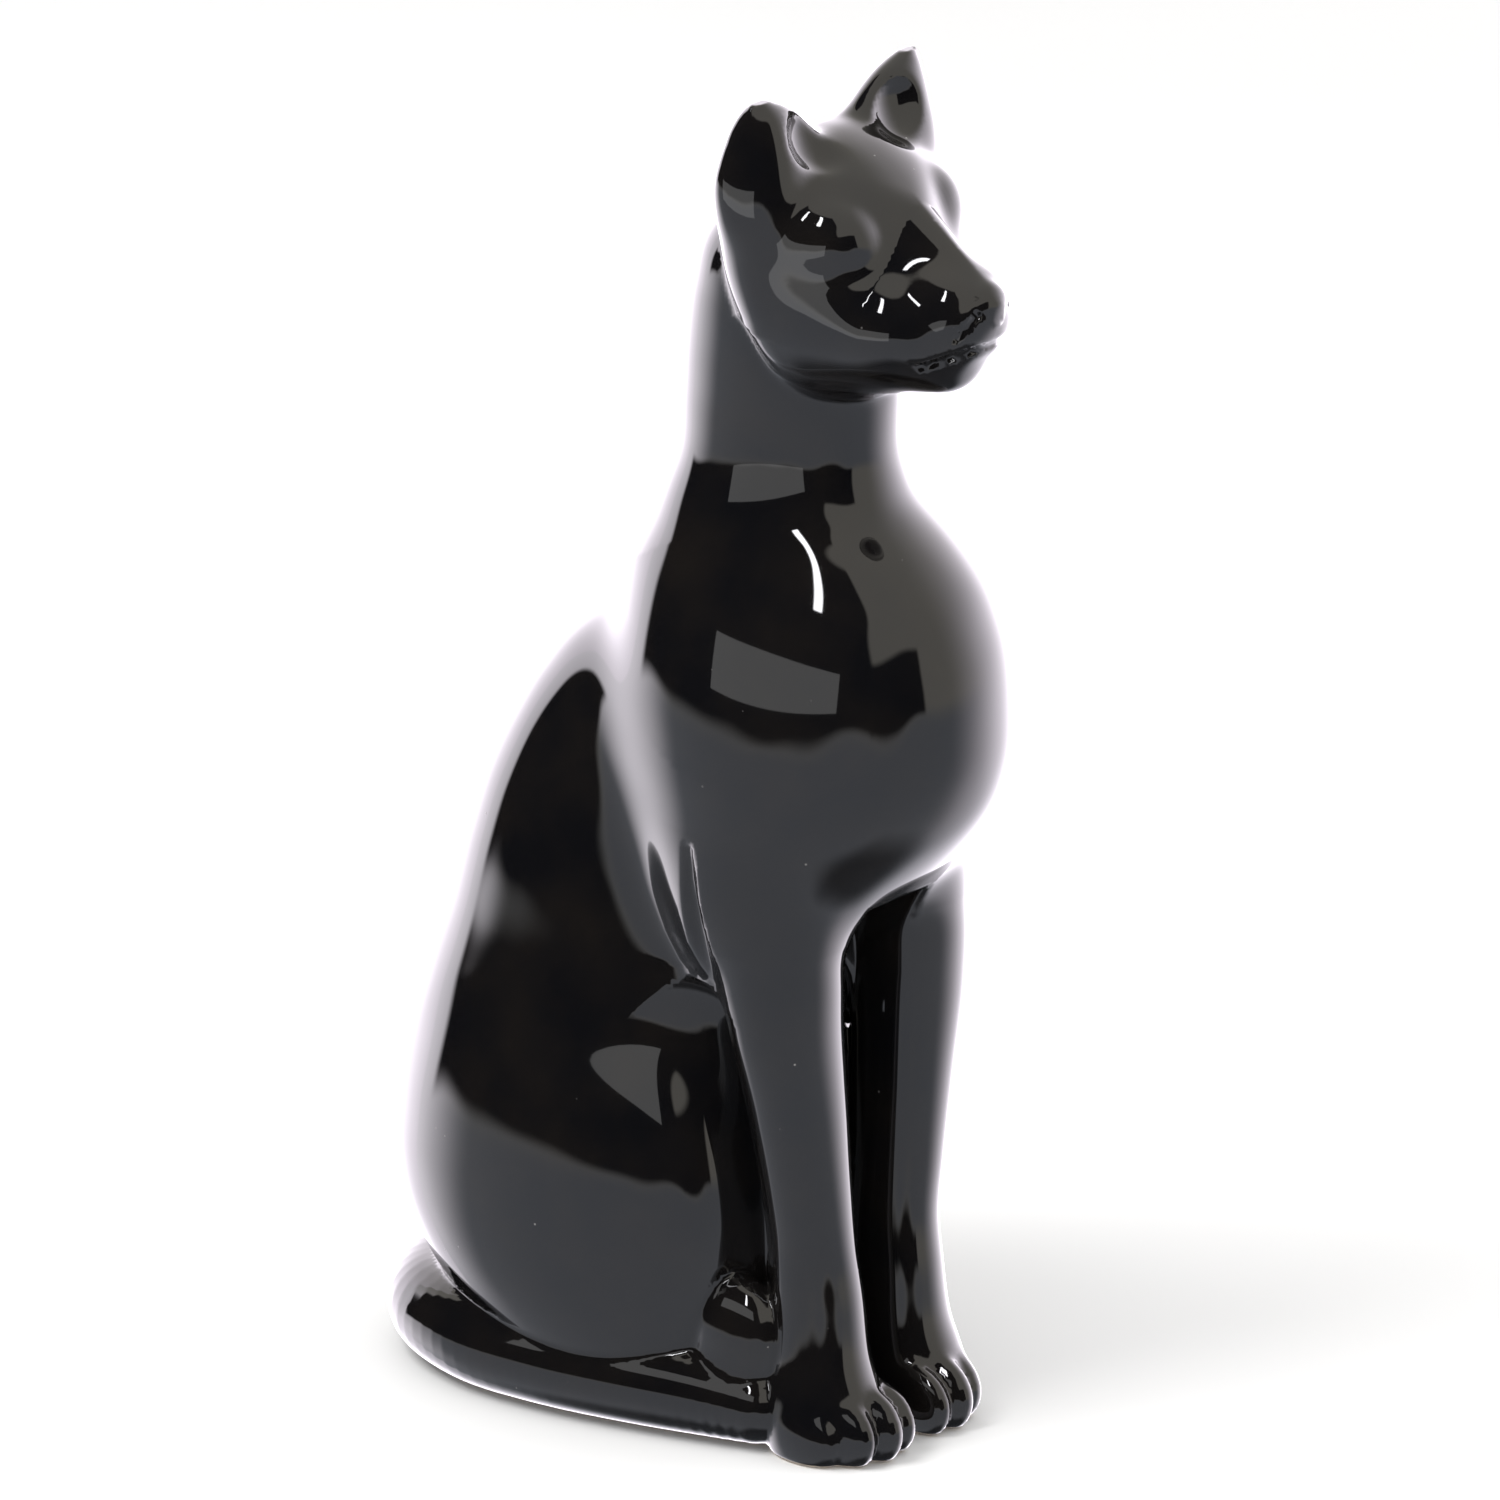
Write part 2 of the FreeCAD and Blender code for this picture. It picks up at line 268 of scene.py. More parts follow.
def hindPaw(q):
    return melt(egg(q, **hindShape["knuckle"]), egg(q, **hindShape["foot"]), hindShape["fillet"])


def hindSkin(q):
    return onlyIn(q, (-5, -60, -10), (45, 5, 50), hindPaw)


def tailPoints():
    line = np.array(tailShape["line"], float)
    run = np.concatenate([[0], np.cumsum(np.linalg.norm(np.diff(line[:, :2], axis=0), axis=1))])
    curve = drawnCurve(np.column_stack([run, line]))
    return np.stack(curve(np.linspace(0, run[-1], tailShape["lengths"])), -1)


tailRun = tailPoints()


def tailSkin(p):
    return onlyIn(p, (-60, -65, -10), (40, 85, 40), lambda s: stringOf(s, tailRun))


# head, face and ears

headShape = {
    # y, top, bottom, half width
    "skull": [(-83.6, 257, 252.5, 1.5), (-82.3, 259, 248.6, 5.0), (-79, 261.8, 243.4, 8.4),
              (-75, 265, 238.4, 11.2), (-70, 268.8, 235.6, 14.4), (-64.5, 273, 234.2, 18), (-59, 277, 233, 21.4),
              (-53.5, 281, 231.4, 24.2), (-47, 284.4, 230, 26.3), (-40, 286.2, 232, 27.4),
              (-34, 285.2, 240, 25.5), (-28, 280, 249, 20), (-22, 272, 258, 11), (-18, 266.5, 262, 5)],
    "squareAbove": 2.25, "squareBelow": 2.15,
    "ends": (-83.5, -18.2),
    "cheek": {"centre": (10, -60, 250), "radii": (9.5, 13, 10)},
    "eye": {"centre": (15.8, -52.4, 267.6), "radii": (6.6, 9.6, 8.2), "rz": -35, "rx": 6},
    "muzzle": {"centre": (3, -71.5, 253.5), "radii": (8, 10.5, 9)},
    "nose": {"centre": (0, -80.2, 256.8), "radii": (4.4, 3.6, 3.6)},
    "chin": {"centre": (0, -70.6, 241.4), "radii": (7.4, 5.8, 5.6)},
    "fillets": {"cheek": 8, "eye": 5, "muzzle": 6, "nose": 3, "chin": 4},
    # the flat of the temple under the brow, and the slope from the bridge of the nose to the muzzle
    "temple": {"azimuth": 55, "elevation": 13.4, "through": (20.3, -54.6, 273)}, "templeEdge": 7,
    "bridge": {"azimuth": 56, "elevation": 32, "through": (2.4, -61, 276.4)}, "bridgeEdge": 5,
    "bridgeBack": (-63, 0.75),
    # the slit of the mouth follows heights given from front to back, and ends at a place along the face
    "mouth": {"line": ([-82, -73, -66], [248.0, 244, 242.6]), "half": 0.55, "end": -72.4, "deep": 0.8},
    "mouthEdge": 2.0,
    # the nostril is a nick across the skin, facing this way, round this place
    "nostril": {"azimuth": 159.5, "elevation": 35.9, "through": (4.5, -79.3, 252),
                "half": 0.45, "reach": 4.4, "deep": 0.6},
    "nostrilEdge": 1.4,
    # the head is worked out only above this height and ahead of this place
    "above": 215, "ahead": 5,
}
earShape = {
    # height, front, back, half width, middle
    "cone": [(250, -47, -31, 8, 15), (262, -48, -29, 10, 17), (272, -48, -29.5, 12.2, 19.4),
             (281, -47.5, -31, 13.6, 20.4), (287, -46.2, -33, 13, 20.8), (291.5, -44.8, -34.8, 10.4, 22.4),
             (294.3, -43.6, -36.4, 7.6, 23.7), (296, -42.4, -37.8, 4.6, 24.6), (297.4, -41.2, -39.4, 1, 25)],
    "ends": (250, 296.4), "join": 7,
    "outerFace": {"azimuth": 62, "elevation": 12, "through": (24.6, -49.6, 285)}, "faceEdge": 8,
    # the cup opens forward and inward; the outer face of the ear is left whole
    "scoop": {"centre": (13.2, -49.6, 289.4), "radii": (8.4, 8.0, 8.6), "rx": -10, "ry": 16},
    "scoopEdge": 2.4,
}
skullCurve = drawnCurve(headShape["skull"])
earCurve = drawnCurve(earShape["cone"])


def earSkin(q):
    front, back, half, middle = earCurve(q[..., 2])
    low, high = earShape["ends"]
    cone = oval(q[..., 0] - middle, q[..., 1] - (front + back) / 2, half, (back - front) / 2)
    cone = carve(cone, facet(q, **earShape["outerFace"]), earShape["faceEdge"])
    return np.maximum(cone, np.maximum(q[..., 2] - high, low - q[..., 2]))


def faceSkin(p, q):
    y = p[..., 1]
    front, back = headShape["ends"]
    top, bottom, half = skullCurve(y)
    rise = p[..., 2] - (top + bottom) / 2
    squareness = np.where(rise > 0, headShape["squareAbove"], headShape["squareBelow"])
    d = boxyOval(p[..., 0], rise, half, (top - bottom) / 2, squareness)
    d = np.maximum(d, np.maximum(front - y, y - back))
    d = carve(d, facet(q, **headShape["temple"]), headShape["templeEdge"])
    start, rise = headShape["bridgeBack"]       # behind this place the slope climbs away from the skull
    d = carve(d, facet(q, **headShape["bridge"]) + np.maximum(y - start, 0) * rise, headShape["bridgeEdge"])
    for name, fillet in headShape["fillets"].items():
        d = melt(d, egg(q, **headShape[name]), fillet)
    return d


def mouthSlit(p, d, line, half, end, deep):
    slab = np.abs(p[..., 2] - np.interp(p[..., 1], *line)) - half
    return np.maximum(np.maximum(slab, p[..., 1] - end), -deep - d)


def nostrilNick(q, d, azimuth, elevation, through, half, reach, deep):
    slab = np.abs(facet(q, azimuth, elevation, through)) - half
    ball = np.linalg.norm(q - np.array(through, np.float32), axis=-1) - reach
    return np.maximum(np.maximum(slab, ball), -deep - d)


def headSkin(p, q):
    d = melt(faceSkin(p, q), earSkin(q), earShape["join"])
    d = carve(d, egg(q, **earShape["scoop"]), earShape["scoopEdge"])
    d = carve(d, mouthSlit(p, d, **headShape["mouth"]), headShape["mouthEdge"])
    return carve(d, nostrilNick(q, d, **headShape["nostril"]), headShape["nostrilEdge"])


def inHead(p):
    return (p[..., 2] > headShape["above"]) & (p[..., 1] < headShape["ahead"])


# foot ring, base floor and vent

# ring: width of the foot ring; deep: how far the floor stands above the table; foot: rounding of the edge
baseShape = {"ring": 5.5, "deep": 1.6, "ringEdge": 0.8, "vent": 4.0, "ventTop": 14, "foot": 1.8}


def baseOval(p, inset):
    front, back, half = haunchCurve(np.full(p.shape[:-1], 0.0))
    return oval(p[..., 0], p[..., 1] - (front + back) / 2, half - inset, (back - front) / 2 - inset)


def baseRecess(p):
    return np.maximum(baseOval(p, baseShape["ring"]), p[..., 2] - baseShape["deep"])


def ventHole(p):
    middle = -catShape["setBack"]
    across = np.hypot(p[..., 0], p[..., 1] - middle) - baseShape["vent"]
    return np.maximum(across, p[..., 2] - baseShape["ventTop"])


# the whole cat as one skin

joinWidth = {"hindPaw": 2, "tail": 1.6, "head": 4}


def catSkin(p):
    q = mirrored(p)
    z = p[..., 2]
    join = np.interp(z, *zip(legShape["joinLow"], legShape["joinHigh"])).astype(np.float32)
    d = melt(bodySkin(p), legSkin(q), join)
    # each hollow is worked out only in the part of the cat that holds it
    m = (q[..., 0] < 25) & (p[..., 1] < -20) & (z < 140)
    d[m] = carve(d[m], legGap(p[m]), gapShape["edge"])
    m = (q[..., 0] > 12) & (q[..., 0] < 48) & (p[..., 1] < -20) & (p[..., 1] > -55) & (z < 150) & (z > 25)
    d[m] = carve(d[m], stringOf(q[m], grooveShape["line"]), grooveShape["edge"])
    d = melt(d, hindSkin(q), joinWidth["hindPaw"])
    d = melt(d, tailSkin(p), joinWidth["tail"])
    m = inHead(p)
    d[m] = melt(d[m], headSkin(p[m], q[m]), joinWidth["head"])
    d = carve(d, z, baseShape["foot"])
    m = z < 20
    d[m] = carve(carve(d[m], baseRecess(p[m]), baseShape["ringEdge"]), ventHole(p[m]), baseShape["ringEdge"])
    return d


# skin to mesh

def inTurns(shape, points, most=400000):
    return np.concatenate([shape(points[i:i + most]) for i in range(0, len(points), most)])


def bandMesh(step, low, high, cells=6, keep=9.0):
    # works the skin out only in blocks near it, then meshes it
    low, block = np.array(low, float), step * cells
    count = np.ceil((np.array(high) - low) / block).astype(int)
    index = np.stack(np.meshgrid(*(np.arange(n) for n in count), indexing="ij"), -1).reshape(-1, 3)
    middles = inTurns(catSkin, (low + (index + 0.5) * block).astype(np.float32))
    coarse = np.where(middles < 0, -keep, keep).astype(np.float32).reshape(tuple(count))
    volume = np.repeat(np.repeat(np.repeat(coarse, cells, 0), cells, 1), cells, 2)
    cell = np.stack(np.meshgrid(*([np.arange(cells)] * 3), indexing="ij"), -1).reshape(-1, 3)
    near = index[np.abs(middles) < keep]
    spots = (near[:, None, :] * cells + cell[None]).reshape(-1, 3)
    values = inTurns(catSkin, (low + spots * step).astype(np.float32))
    volume[spots[:, 0], spots[:, 1], spots[:, 2]] = values
    grid = vdb.FloatGrid(keep)
    grid.copyFromArray(np.clip(volume, -keep, keep))
    points, quads = grid.convertToQuads(0.0)
    quads = quads.astype(np.int64)
    triangles = np.concatenate([quads[:, [0, 1, 2]], quads[:, [0, 2, 3]]])
    return low + points.astype(float) * step, triangles


def slopeOf(points, reach=0.25):
    offsets = np.eye(3, dtype=np.float32) * reach
    rises = [inTurns(catSkin, points + o) - inTurns(catSkin, points - o) for o in offsets]
    return np.stack(rises, -1) / (2 * reach)


def settled(points, turns=2, most=0.7):
    # moves points onto the skin, and gives the skin's own direction there
    points = points.astype(np.float32)
    for _ in range(turns):
        slope = slopeOf(points)
        move = inTurns(catSkin, points) / np.maximum((slope ** 2).sum(-1), 0.05)
        points = (points - np.clip(move, -most, most)[:, None] * slope).astype(np.float32)
    slope = slopeOf(points)
    return points, slope / np.maximum(np.linalg.norm(slope, axis=1, keepdims=True), 1e-6)


step = catShape["fineStep"]
skinBox = ((-56, -93, -5), (56, 81, 303))
skinPoints, skinTriangles = bandMesh(step, *skinBox)
print("stage 2: skin meshed,", len(skinPoints), "points")


# The skin is one glazed surface. It is cut along the lines where one piece meets the next.
# Each name is a node of the frame, in the order in which it is cut off; what is left is the body.

def sided(p, side):
    q = p.copy()
    q[:, 0] = q[:, 0] * side
    return q


def oneSide(shape, side):
    return lambda p: np.where(p[:, 0] * side > 0, shape(sided(p, side)), farAway)


def floorInside(p):
    return np.maximum(baseOval(p, baseShape["ring"] + 0.6), p[:, 2] - baseShape["ventTop"] - 2)


pieceSkins = {
    "tail": tailSkin,
    "right_hind_paw": oneSide(hindSkin, -1), "left_hind_paw": oneSide(hindSkin, 1),
    "right_foreleg": oneSide(legSkin, -1), "left_foreleg": oneSide(legSkin, 1),
    "right_ear": oneSide(earSkin, -1), "left_ear": oneSide(earSkin, 1),
    "head": lambda p: np.where(inHead(p), faceSkin(p, mirrored(p)), farAway),
    "body_casting": bodySkin,
}


def cutAlong(triangles, value, distances):
    # splits triangles where value passes zero; distances holds a row for each point and grows with new ones
    count = len(value)
    value = np.where(np.abs(value) < 1e-4, 1e-4, value)
    inside = value[triangles] < 0
    total = inside.sum(1)
    kept, left = [triangles[total == 3]], [triangles[total == 0]]
    mixed = np.flatnonzero((total == 1) | (total == 2))
    if len(mixed) == 0:
        return kept[0], left[0], distances
    t, ins = triangles[mixed], inside[mixed]
    lone = np.where(total[mixed] == 1, ins.argmax(1), (~ins).argmax(1))
    rows = np.arange(len(t))
    a, b, c = t[rows, lone], t[rows, (lone + 1) % 3], t[rows, (lone + 2) % 3]
    edges = np.sort(np.concatenate([np.stack([a, b], 1), np.stack([a, c], 1)]), 1)
    unique, place = np.unique(edges, axis=0, return_inverse=True)
    share = value[unique[:, 0]] / (value[unique[:, 0]] - value[unique[:, 1]])
    fresh = distances[unique[:, 0]] + (distances[unique[:, 1]] - distances[unique[:, 0]]) * share[:, None]
    distances = np.concatenate([distances, fresh])
    ab, ac = (count + place.reshape(-1))[:len(t)], (count + place.reshape(-1))[len(t):]
    tip = np.stack([a, ab, ac], 1)
    rest = np.concatenate([np.stack([ab, b, c], 1), np.stack([ab, c, ac], 1)])
    loneIn = total[mixed] == 1
    both = np.concatenate([loneIn, loneIn])
    kept += [tip[loneIn], rest[~both]]
    left += [tip[~loneIn], rest[both]]
    return np.concatenate(kept), np.concatenate(left), distances


names = list(pieceSkins)
rows = np.concatenate([skinPoints] + [pieceSkins[n](skinPoints.astype(np.float32))[:, None] for n in names]
                      + [floorInside(skinPoints.astype(np.float32))[:, None]], 1)
cut = {}
isLow = (rows[skinTriangles][:, :, 2] < baseShape["ventTop"] + 2).all(1)
lowest, higher = skinTriangles[isLow], skinTriangles[~isLow]
cut["base_floor"], lowest, rows = cutAlong(lowest, rows[:, -1], rows)
# the floor lies inside the ring and the vent; the rest of the low skin goes back to the others
remaining = np.concatenate([lowest, higher])
for i, name in enumerate(names[:-1]):
    others = np.delete(rows[:, 3:3 + len(names)], i, 1).min(1)
    cut[name], remaining, rows = cutAlong(remaining, rows[:, 3 + i] - others, rows)
cut["body_casting"] = remaining
skinPoints, skinWay = settled(rows[:, :3])
print("stage 3: skin cut into", len(cut), "pieces")


# share: how much of the clay behind a point the wall may take; least: thinnest wall
# cluster: size of the inner faces; thin: below this share of the full wall no inner points are merged
# rings: how many rings of points beside a border also stay
wallShape = {"share": 0.8, "least": 0.25, "cluster": 3.0, "thin": 0.45, "rings": 2}


def wallDepths(points, way):
    # the wall is thinner where the piece itself is thin
    depth = -inTurns(catSkin, (points - way * catShape["wall"]).astype(np.float32))
    return np.clip(depth * wallShape["share"], wallShape["least"], catShape["wall"])


def closedPiece(name, triangles):
    # outer skin, inner skin with larger faces, and a rim between them
    used, flat = np.unique(triangles, return_inverse=True)
    outer = flat.reshape(-1, 3)
    points, way = skinPoints[used], skinWay[used]
    depth = wallDepths(points, way)
    directed = np.concatenate([outer[:, [0, 1]], outer[:, [1, 2]], outer[:, [2, 0]]])
    key = np.sort(directed, 1)
    _, where, times = np.unique(key, axis=0, return_inverse=True, return_counts=True)
    border = directed[times[where.reshape(-1)] == 1]
    fixed = np.zeros(len(used), bool)
    fixed[border.reshape(-1)] = True
    for _ in range(wallShape["rings"]):
        fixed[outer[fixed[outer].any(1)].reshape(-1)] = True
    fixed |= depth < catShape["wall"] * wallShape["thin"]
    innerPoints = points - way * depth[:, None]
    cell = np.floor(innerPoints / wallShape["cluster"]).astype(np.int64)
    # one number for each cell of the grid, kept clear of the numbers of the fixed points
    cellNumber = cell @ np.array([1, 4096, 4096 * 4096]) % (2 ** 50)
    label = np.where(fixed, np.arange(len(used)), len(used) + cellNumber)
    owner = np.unique(label, return_inverse=True)[1].reshape(-1)
    sums = np.stack([np.bincount(owner, innerPoints[:, k]) for k in range(3)], 1)
    centres = sums / np.bincount(owner)[:, None]
    inner = owner[outer[:, ::-1]] + len(used)
    inner = inner[(inner[:, 0] != inner[:, 1]) & (inner[:, 1] != inner[:, 2]) & (inner[:, 0] != inner[:, 2])]
    a, b = border[:, 0], border[:, 1]
    aIn, bIn = owner[a] + len(used), owner[b] + len(used)
    rim = np.concatenate([np.stack([b, a, aIn], 1), np.stack([b, aIn, bIn], 1)])
    allPoints = np.concatenate([points, centres])
    faces = np.concatenate([outer, inner, rim])
    mesh = bpy.data.meshes.new(name)
    toFrame = (allPoints + (0, catShape["setBack"], 0)) * unit
    mesh.vertices.add(len(toFrame))
    mesh.vertices.foreach_set("co", toFrame.astype(np.float32).reshape(-1))
    mesh.loops.add(len(faces) * 3)
    mesh.loops.foreach_set("vertex_index", faces.astype(np.int32).reshape(-1))
    mesh.polygons.add(len(faces))
    mesh.polygons.foreach_set("loop_start", np.arange(0, len(faces) * 3, 3, dtype=np.int32))
    mesh.update(calc_edges=True)
    mesh.polygons.foreach_set("use_smooth", np.ones(len(faces), bool))
    first = allPoints[faces[:, 0]]
    corner = np.cross(allPoints[faces[:, 1]] - first, allPoints[faces[:, 2]] - first)
    corner /= np.maximum(np.linalg.norm(corner, axis=1, keepdims=True), 1e-9)
    loopWay = np.repeat(corner, 3, 0)
    loopWay[:len(outer) * 3] = way[outer.reshape(-1)]
    mesh.normals_split_custom_set(loopWay.tolist())
    piece = bpy.data.objects.new(name.replace("_", "-"), mesh)
    bpy.context.scene.collection.objects.link(piece)
    return piece


# materials

def newMaterial(name):
    material = bpy.data.materials.new(name)
    material.use_nodes = True
    tree = material.node_tree
    return material, tree, tree.nodes["Principled BSDF"]


def node(tree, kind, **settings):
    made = tree.nodes.new("ShaderNode" + kind)
    for key, value in settings.items():
        if hasattr(made, key):
            setattr(made, key, value)
        else:
            made.inputs[key.replace("_", " ")].default_value = value
    return made


def ramp(tree, source, stops):
    made = tree.nodes.new("ShaderNodeValToRGB")
    while len(made.color_ramp.elements) < len(stops):
        made.color_ramp.elements.new(0.5)
    for element, (place, colour) in zip(made.color_ramp.elements, stops):
        element.position = place
        element.color = (*colour, 1) if isinstance(colour, tuple) else (colour, colour, colour, 1)
    tree.links.new(source, made.inputs["Fac"])
    return made.outputs["Color"]


def mixed(tree, share, a, b, blend="MIX"):
    made = tree.nodes.new("ShaderNodeMix")
    made.data_type, made.blend_type = "RGBA", blend
    for socket, value in ((made.inputs["Factor"], share), (made.inputs[6], a), (made.inputs[7], b)):
        if isinstance(value, bpy.types.NodeSocket):
            tree.links.new(value, socket)
        else:
            socket.default_value = (*value, 1) if isinstance(value, tuple) else value
    return made.outputs[2]


glazeLook = {"black": (0.0035, 0.0035, 0.0042), "cloud": (0.007, 0.006, 0.0055), "roughness": 0.035,
             "ior": 1.52, "dust": (0.32, 0.31, 0.30), "waviness": 0.00012, "footHeight": 0.0009}
clayLook = {"pale": (0.60, 0.52, 0.43), "dark": (0.42, 0.35, 0.28), "roughness": 0.82}


def clayColour(tree, place):
    # gives the colour and the noise node of its grain
    speck = node(tree, "TexNoise", Scale=420.0, Detail=5.0, Roughness=0.7)
    tree.links.new(place, speck.inputs["Vector"])
    stain = node(tree, "TexNoise", Scale=45.0, Detail=3.0)
    tree.links.new(place, stain.inputs["Vector"])
    base = ramp(tree, stain.outputs["Fac"], [(0.3, clayLook["dark"]), (0.7, clayLook["pale"])])
    share = ramp(tree, speck.outputs["Fac"], [(0.35, 0.0), (0.62, 1.0)])
    return mixed(tree, share, clayLook["dark"], base), speck


def makeGlaze():
    material, tree, skin = newMaterial("blackGlaze")
    place = node(tree, "TexCoord").outputs["Object"]
    height = node(tree, "SeparateXYZ")
    tree.links.new(place, height.inputs[0])
    # the colour is warmer and thinner in small clouds
    cloud = node(tree, "TexNoise", Scale=60.0, Detail=4.0)
    tree.links.new(place, cloud.inputs["Vector"])
    glaze = ramp(tree, cloud.outputs["Fac"], [(0.35, glazeLook["black"]), (0.72, glazeLook["cloud"])])
    # dust lies as sparse pale specks
    dust = node(tree, "TexVoronoi", Scale=260.0, Randomness=1.0)
    tree.links.new(place, dust.inputs["Vector"])
    spread = node(tree, "TexNoise", Scale=95.0, Detail=2.0)
    tree.links.new(place, spread.inputs["Vector"])
    dot = ramp(tree, dust.outputs["Distance"], [(0.0, 1.0), (0.085, 0.0)])
    where = ramp(tree, spread.outputs["Fac"], [(0.60, 0.0), (0.66, 1.0)])
    speck = mixed(tree, 1.0, dot, where, "MULTIPLY")
    glaze = mixed(tree, speck, glaze, glazeLook["dust"])
    # the foot is wiped clean, so the clay shows under a thin edge of glaze
    clay = clayColour(tree, place)[0]
    foot = node(tree, "MapRange", interpolation_type="SMOOTHSTEP")
    foot.inputs["From Min"].default_value = glazeLook["footHeight"]
    foot.inputs["From Max"].default_value = glazeLook["footHeight"] * 0.6
    tree.links.new(height.outputs["Z"], foot.inputs["Value"])
    tree.links.new(mixed(tree, foot.outputs["Result"], glaze, clay), skin.inputs["Base Color"])
    rough = node(tree, "MapRange")
    rough.inputs["To Min"].default_value = glazeLook["roughness"]
    rough.inputs["To Max"].default_value = clayLook["roughness"]
    either = node(tree, "Math", operation="MAXIMUM")
    tree.links.new(foot.outputs["Result"], either.inputs[0])
    tree.links.new(speck, either.inputs[1])
    tree.links.new(either.outputs[0], rough.inputs["Value"])
    tree.links.new(rough.outputs["Result"], skin.inputs["Roughness"])
    skin.inputs["IOR"].default_value = glazeLook["ior"]
    # the slow waviness of poured glaze
    wave = node(tree, "TexNoise", Scale=38.0, Detail=1.0)
    tree.links.new(place, wave.inputs["Vector"])
    bump = node(tree, "Bump", Distance=glazeLook["waviness"], Strength=1.0)
    tree.links.new(wave.outputs["Fac"], bump.inputs["Height"])
    tree.links.new(bump.outputs["Normal"], skin.inputs["Normal"])
    return material


def makeClay():
    material, tree, skin = newMaterial("baseClay")
    place = node(tree, "TexCoord").outputs["Object"]
    clay, grain = clayColour(tree, place)
    tree.links.new(clay, skin.inputs["Base Color"])
    skin.inputs["Roughness"].default_value = clayLook["roughness"]
    bump = node(tree, "Bump", Distance=0.0004, Strength=0.6)
    tree.links.new(grain.outputs["Fac"], bump.inputs["Height"])
    tree.links.new(bump.outputs["Normal"], skin.inputs["Normal"])
    return material


blackGlaze, baseClay = makeGlaze(), makeClay()
for name, triangles in cut.items():
    piece = closedPiece(name, triangles)
    isFloor = name == "base_floor"
    piece.data.materials.append(baseClay if isFloor else blackGlaze)
    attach(piece, "root")
    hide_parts(name)
    print("   ", piece.name, len(piece.data.polygons), "faces")
print("stage 4: pieces closed and glazed")


# floor, room and lights

floorLook = {"size": 6.0, "colour": (0.86, 0.855, 0.85)}


def makeFloor():
    half = floorLook["size"] / 2
    mesh = bpy.data.meshes.new("floor")
    corners = [(-half, -half, 0), (half, -half, 0), (half, half, 0), (-half, half, 0)]
    mesh.from_pydata(corners, [], [(0, 1, 2, 3)])
    floor = bpy.data.objects.new("floor", mesh)
    bpy.context.scene.collection.objects.link(floor)
    material, tree, skin = newMaterial("palePaper")
    place = node(tree, "TexCoord").outputs["Object"]
    tone = node(tree, "TexNoise", Scale=3.0, Detail=2.0)
    tree.links.new(place, tone.inputs["Vector"])
    pale = floorLook["colour"]
    tree.links.new(ramp(tree, tone.outputs["Fac"], [(0.3, pale), (0.7, tuple(c * 0.97 for c in pale))]),
                   skin.inputs["Base Color"])
    skin.inputs["Roughness"].default_value = 0.9
    skin.inputs["Specular IOR Level"].default_value = 0.1
    mesh.materials.append(material)
    floor.visible_glossy = False      # the room below gives the glaze its reflections


# What the glaze mirrors. Azimuth 0 is straight ahead of the cat and -90 its right side; all in degrees.
# A patch is painted over the ones above it.
roomLook = {
    "wall": (1.3, 1.24, 1.12), "diffuse": 0.95, "sway": 9.0,
    "patches": [
        dict(az=(-400, 400), el=(-100, -11), edge=5.0, colour=(0.84, 0.88, 0.98)),      # pale table
        dict(az=(45, 260), el=(-40, 30), edge=30.0, colour=(4.6, 4.3, 4.7)),            # bright wall behind
        dict(az=(-260, -160), el=(-36, 24), edge=16.0, colour=(4.2, 4.0, 4.3)),
        dict(az=(-400, 400), el=(-100, -60), edge=8.0, colour=(0.14, 0.15, 0.17)),      # the cat's own shade
        dict(az=(-170, -38), el=(-11, 66), edge=1.8, colour=(0.002, 0.002, 0.003)),     # dark room
        dict(az=(-40, -6), el=(-11, 18), edge=1.8, colour=(0.002, 0.002, 0.003)),
        dict(az=(-75.5, -70), el=(40, 62), edge=0.7, colour=(30.0, 30.0, 31.0)),        # window
    ],
}


def makeRoom():
    world = bpy.data.worlds.new("softRoom")
    bpy.context.scene.world = world
    world.use_nodes = True
    tree = world.node_tree
    background = tree.nodes["Background"]
    way = node(tree, "TexCoord").outputs["Generated"]
    wobble = node(tree, "TexNoise", Scale=2.2, Detail=0.0)
    tree.links.new(way, wobble.inputs["Vector"])
    split = node(tree, "SeparateXYZ")
    tree.links.new(way, split.inputs[0])

    def maths(operation, *values):
        made = node(tree, "Math", operation=operation)
        for socket, value in zip(made.inputs, values):
            if isinstance(value, bpy.types.NodeSocket):
                tree.links.new(value, socket)
            else:
                socket.default_value = value
        return made.outputs[0]

    sway = maths("MULTIPLY", maths("SUBTRACT", wobble.outputs["Fac"], 0.5), roomLook["sway"])
    back = maths("MULTIPLY", split.outputs["Y"], -1.0)
    azimuth = maths("ADD", maths("MULTIPLY", maths("ARCTAN2", split.outputs["X"], back), 180 / math.pi), sway)
    height = maths("ADD", maths("MULTIPLY", maths("ARCSINE", split.outputs["Z"]), 180 / math.pi), sway)

    def between(value, low, high, edge):
        up = node(tree, "MapRange", interpolation_type="SMOOTHSTEP")
        down = node(tree, "MapRange", interpolation_type="SMOOTHSTEP")
        for made, zero, one in ((up, low - edge, low + edge), (down, high + edge, high - edge)):
            made.inputs["From Min"].default_value = zero
            made.inputs["From Max"].default_value = one
            tree.links.new(value, made.inputs["Value"])
        return maths("MULTIPLY", up.outputs["Result"], down.outputs["Result"])

    colour = roomLook["wall"]
    for patch in roomLook["patches"]:
        share = maths("MULTIPLY", between(azimuth, *patch["az"], patch["edge"]),
                      between(height, *patch["el"], patch["edge"]))
        colour = mixed(tree, share, colour, patch["colour"])
    soft = (roomLook["diffuse"],) * 3
    light = node(tree, "LightPath")
    tree.links.new(mixed(tree, light.outputs["Is Glossy Ray"], soft, colour), background.inputs["Color"])


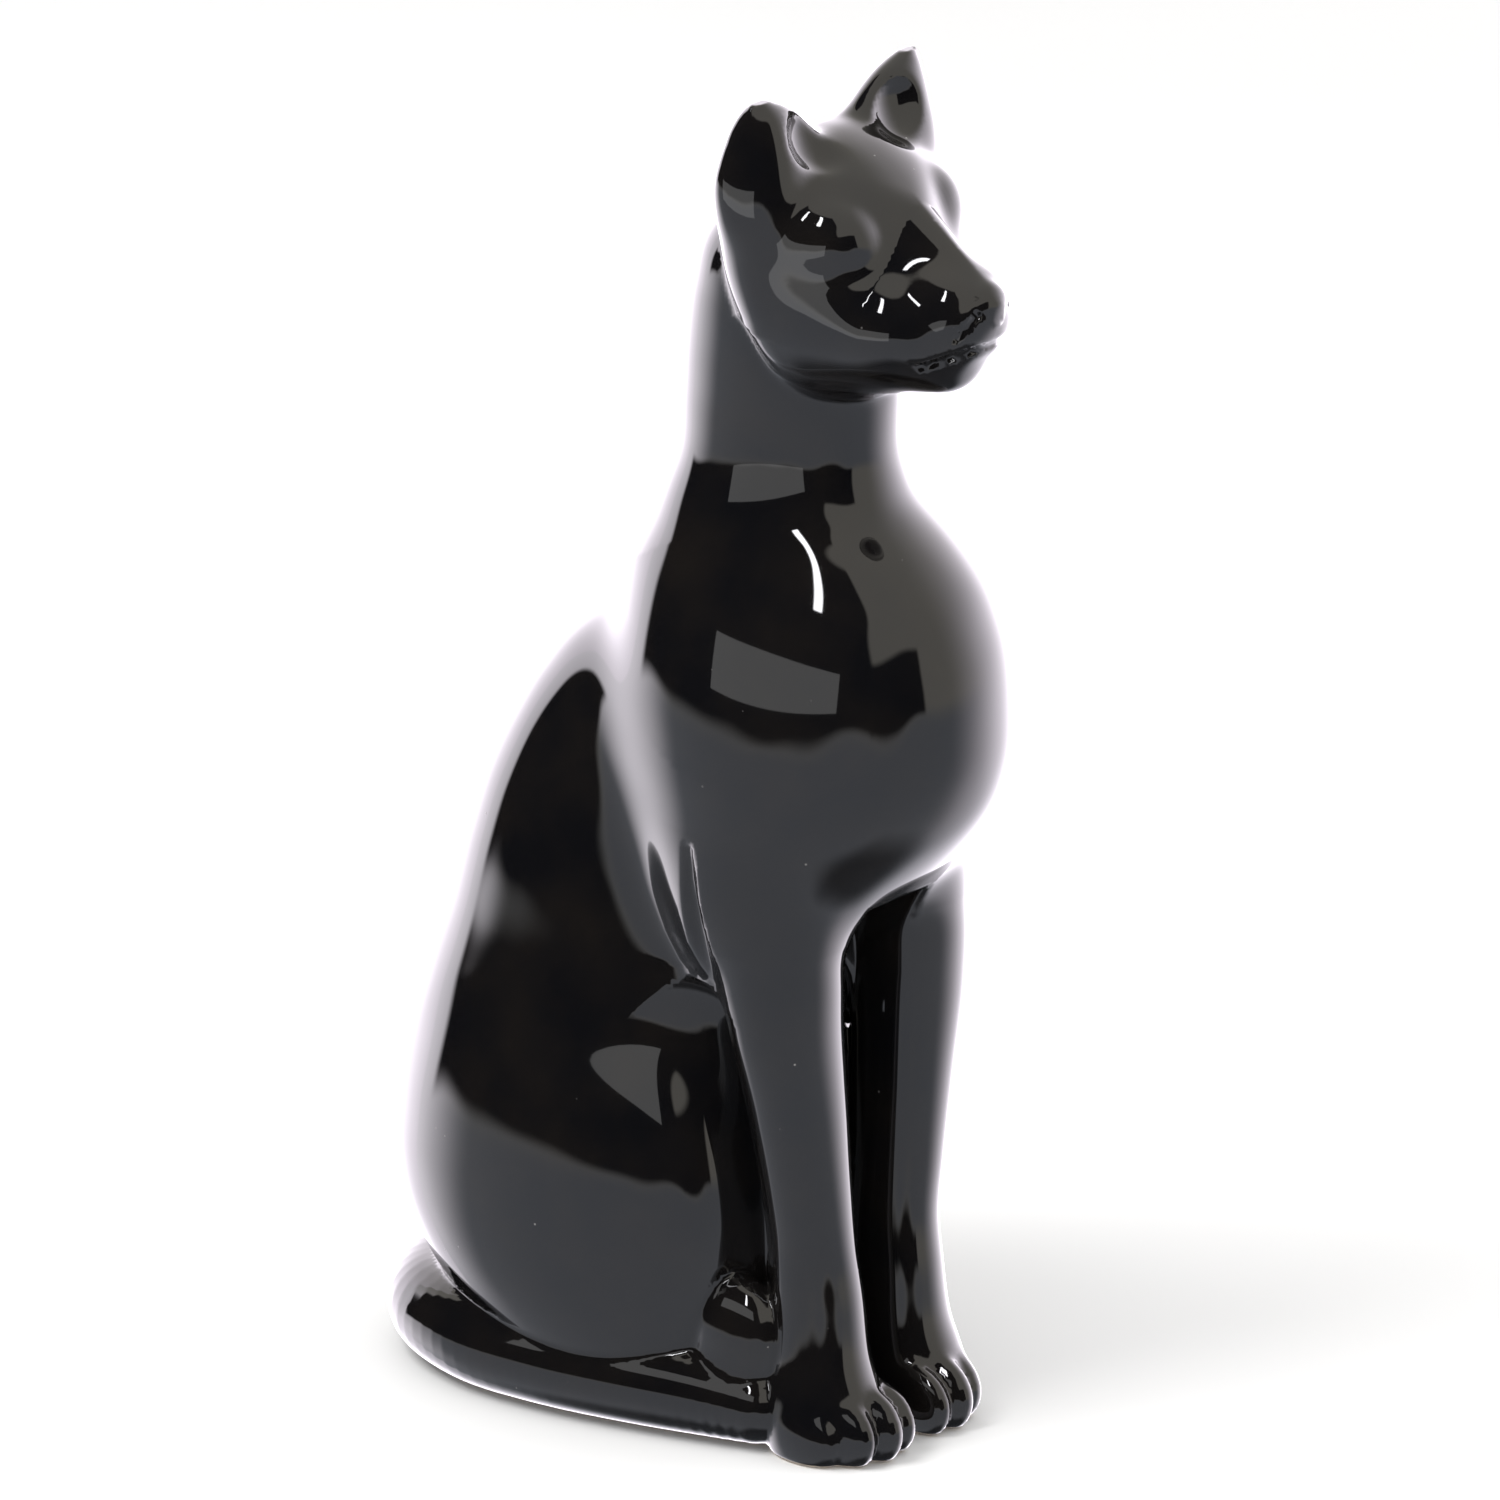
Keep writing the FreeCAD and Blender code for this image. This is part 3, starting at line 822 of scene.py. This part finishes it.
lightLook = [
    # soft boxes, in degrees, metres and watts
    dict(name="key", az=-110, el=52, far=1.1, size=0.55, watts=9.0, glossy=False),
    dict(name="fill", az=30, el=60, far=1.4, size=0.9, watts=5.0, glossy=False),
    # a dim hanging cloth beside the cat, which only the glaze shows
    dict(name="cloth", az=-87, el=9, far=0.36, size=0.44, tall=0.115, watts=0.2, glossy=True),
]


def wayTo(azimuth, elevation):
    a, e = math.radians(azimuth), math.radians(elevation)
    return Vector((math.sin(a) * math.cos(e), -math.cos(a) * math.cos(e), math.sin(e)))


def makeLights():
    middle = Vector((0, 0, (cadLow.z + cadHigh.z) / 2))
    for look in lightLook:
        lamp = bpy.data.lights.new(look["name"], "AREA")
        lamp.shape, lamp.energy = "RECTANGLE", look["watts"]
        lamp.size, lamp.size_y = look["size"], look.get("tall", look["size"])
        softBox = bpy.data.objects.new(look["name"], lamp)
        bpy.context.scene.collection.objects.link(softBox)
        way = wayTo(look["az"], look["el"])
        softBox.location = middle + way * look["far"]
        softBox.rotation_euler = way.to_track_quat("Z", "Y").to_euler()
        softBox.visible_glossy, softBox.visible_diffuse = look["glossy"], not look["glossy"]
        softBox.visible_camera = False


# the camera stands ahead of the cat and to its right, and looks down a little
cameraLook = {"azimuth": -50, "elevation": 20.5, "distance": 3.0, "lens": 338.4,
              "aim": (43.97, 19.12, 122.96)}


def makeCamera():
    data = bpy.data.cameras.new("camera")
    data.lens, data.sensor_width = cameraLook["lens"], 36.0
    camera = bpy.data.objects.new("camera", data)
    bpy.context.scene.collection.objects.link(camera)
    x, y, z = cameraLook["aim"]
    aim = Vector((x, y + catShape["setBack"], z)) * unit
    way = wayTo(cameraLook["azimuth"], cameraLook["elevation"])
    camera.location = aim + way * cameraLook["distance"]
    camera.rotation_euler = way.to_track_quat("Z", "Y").to_euler()
    bpy.context.scene.camera = camera


makeFloor()
makeRoom()
makeLights()
makeCamera()
bpy.context.scene.view_settings.view_transform = "Standard"
print("stage 5: floor, room, lights and camera set")
